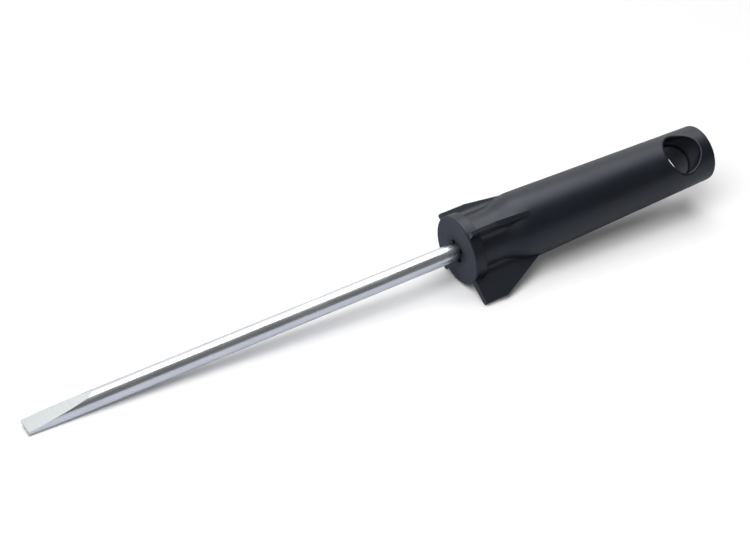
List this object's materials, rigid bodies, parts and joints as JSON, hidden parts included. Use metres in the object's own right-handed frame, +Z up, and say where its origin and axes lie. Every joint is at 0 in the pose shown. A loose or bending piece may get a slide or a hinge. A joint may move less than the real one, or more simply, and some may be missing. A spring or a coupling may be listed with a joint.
{
  "type": "slotted screwdriver",
  "caption": "Slotted screwdriver with a round steel blade and a one-piece plastic handle with a finned front collar and a cross hole.",
  "frame": {"origin": "centre of the handle's round front face, where the blade leaves it", "axes": "+X along the tool's axis towards the tip, +Z up when the tool lies at rest on its two lower fins and its blade"},
  "size_m": [0.3313, 0.0376, 0.0333],
  "materials": {
    "blade": "bright zinc-plated shaft with a matte ground tip",
    "handle": "satin moulded"
  },
  "bodies": {
    "root": {"blade": "blade", "handle": "handle"}
  },
  "joints": []
}
